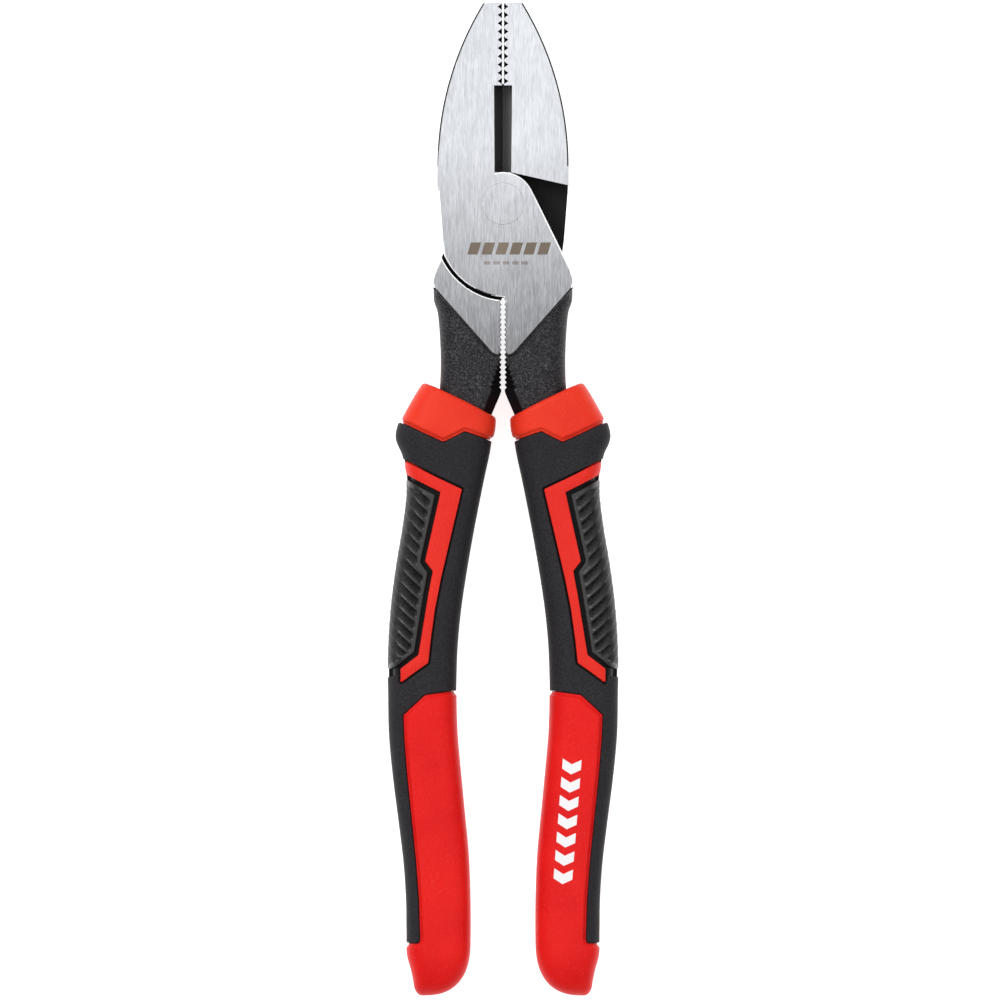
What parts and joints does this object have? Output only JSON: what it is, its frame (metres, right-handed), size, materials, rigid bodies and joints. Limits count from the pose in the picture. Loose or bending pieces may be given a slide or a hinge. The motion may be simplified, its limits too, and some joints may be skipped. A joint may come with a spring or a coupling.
{
  "type": "lineman pliers",
  "caption": "Lineman pliers with toothed gripping jaws, side cutting knives, a fine-toothed wire puller and moulded red and black grips that open on one rivet.",
  "frame": {"origin": "centre of the tool's footprint, on the plane it lies on, with the jaws closed", "axes": "+Y along the tool from the grips towards the jaw tips, +Z through the thickness towards the front face, +X to the right of the front face"},
  "size_m": [0.0552, 0.238, 0.0196],
  "materials": {
    "steel": "ground bright on the head's flat faces, black as forged elsewhere",
    "red_plastic": "smooth satin moulding",
    "black_rubber": "matte, fine grained",
    "core_plastic": "matte"
  },
  "bodies": {
    "front_lever": {"front_half": "steel", "pivot_rivet": "steel", "right_inner_sleeve": "core_plastic", "right_collar": "red_plastic", "right_grip_shell": "black_rubber", "right_stripe": "red_plastic", "right_rib_pad": "black_rubber", "right_end_sleeve": "red_plastic"},
    "rear_lever": {"rear_half": "steel", "left_inner_sleeve": "core_plastic", "left_collar": "red_plastic", "left_grip_shell": "black_rubber", "left_stripe": "red_plastic", "left_rib_pad": "black_rubber", "left_end_sleeve": "red_plastic"}
  },
  "joints": [
    {"name": "pivot", "type": "hinge", "parent": "front_lever", "child": "rear_lever", "pos_m": [0, 0.0708, 0.0099], "axis": [0, 0, -1], "range_deg": [0, 50]}
  ]
}
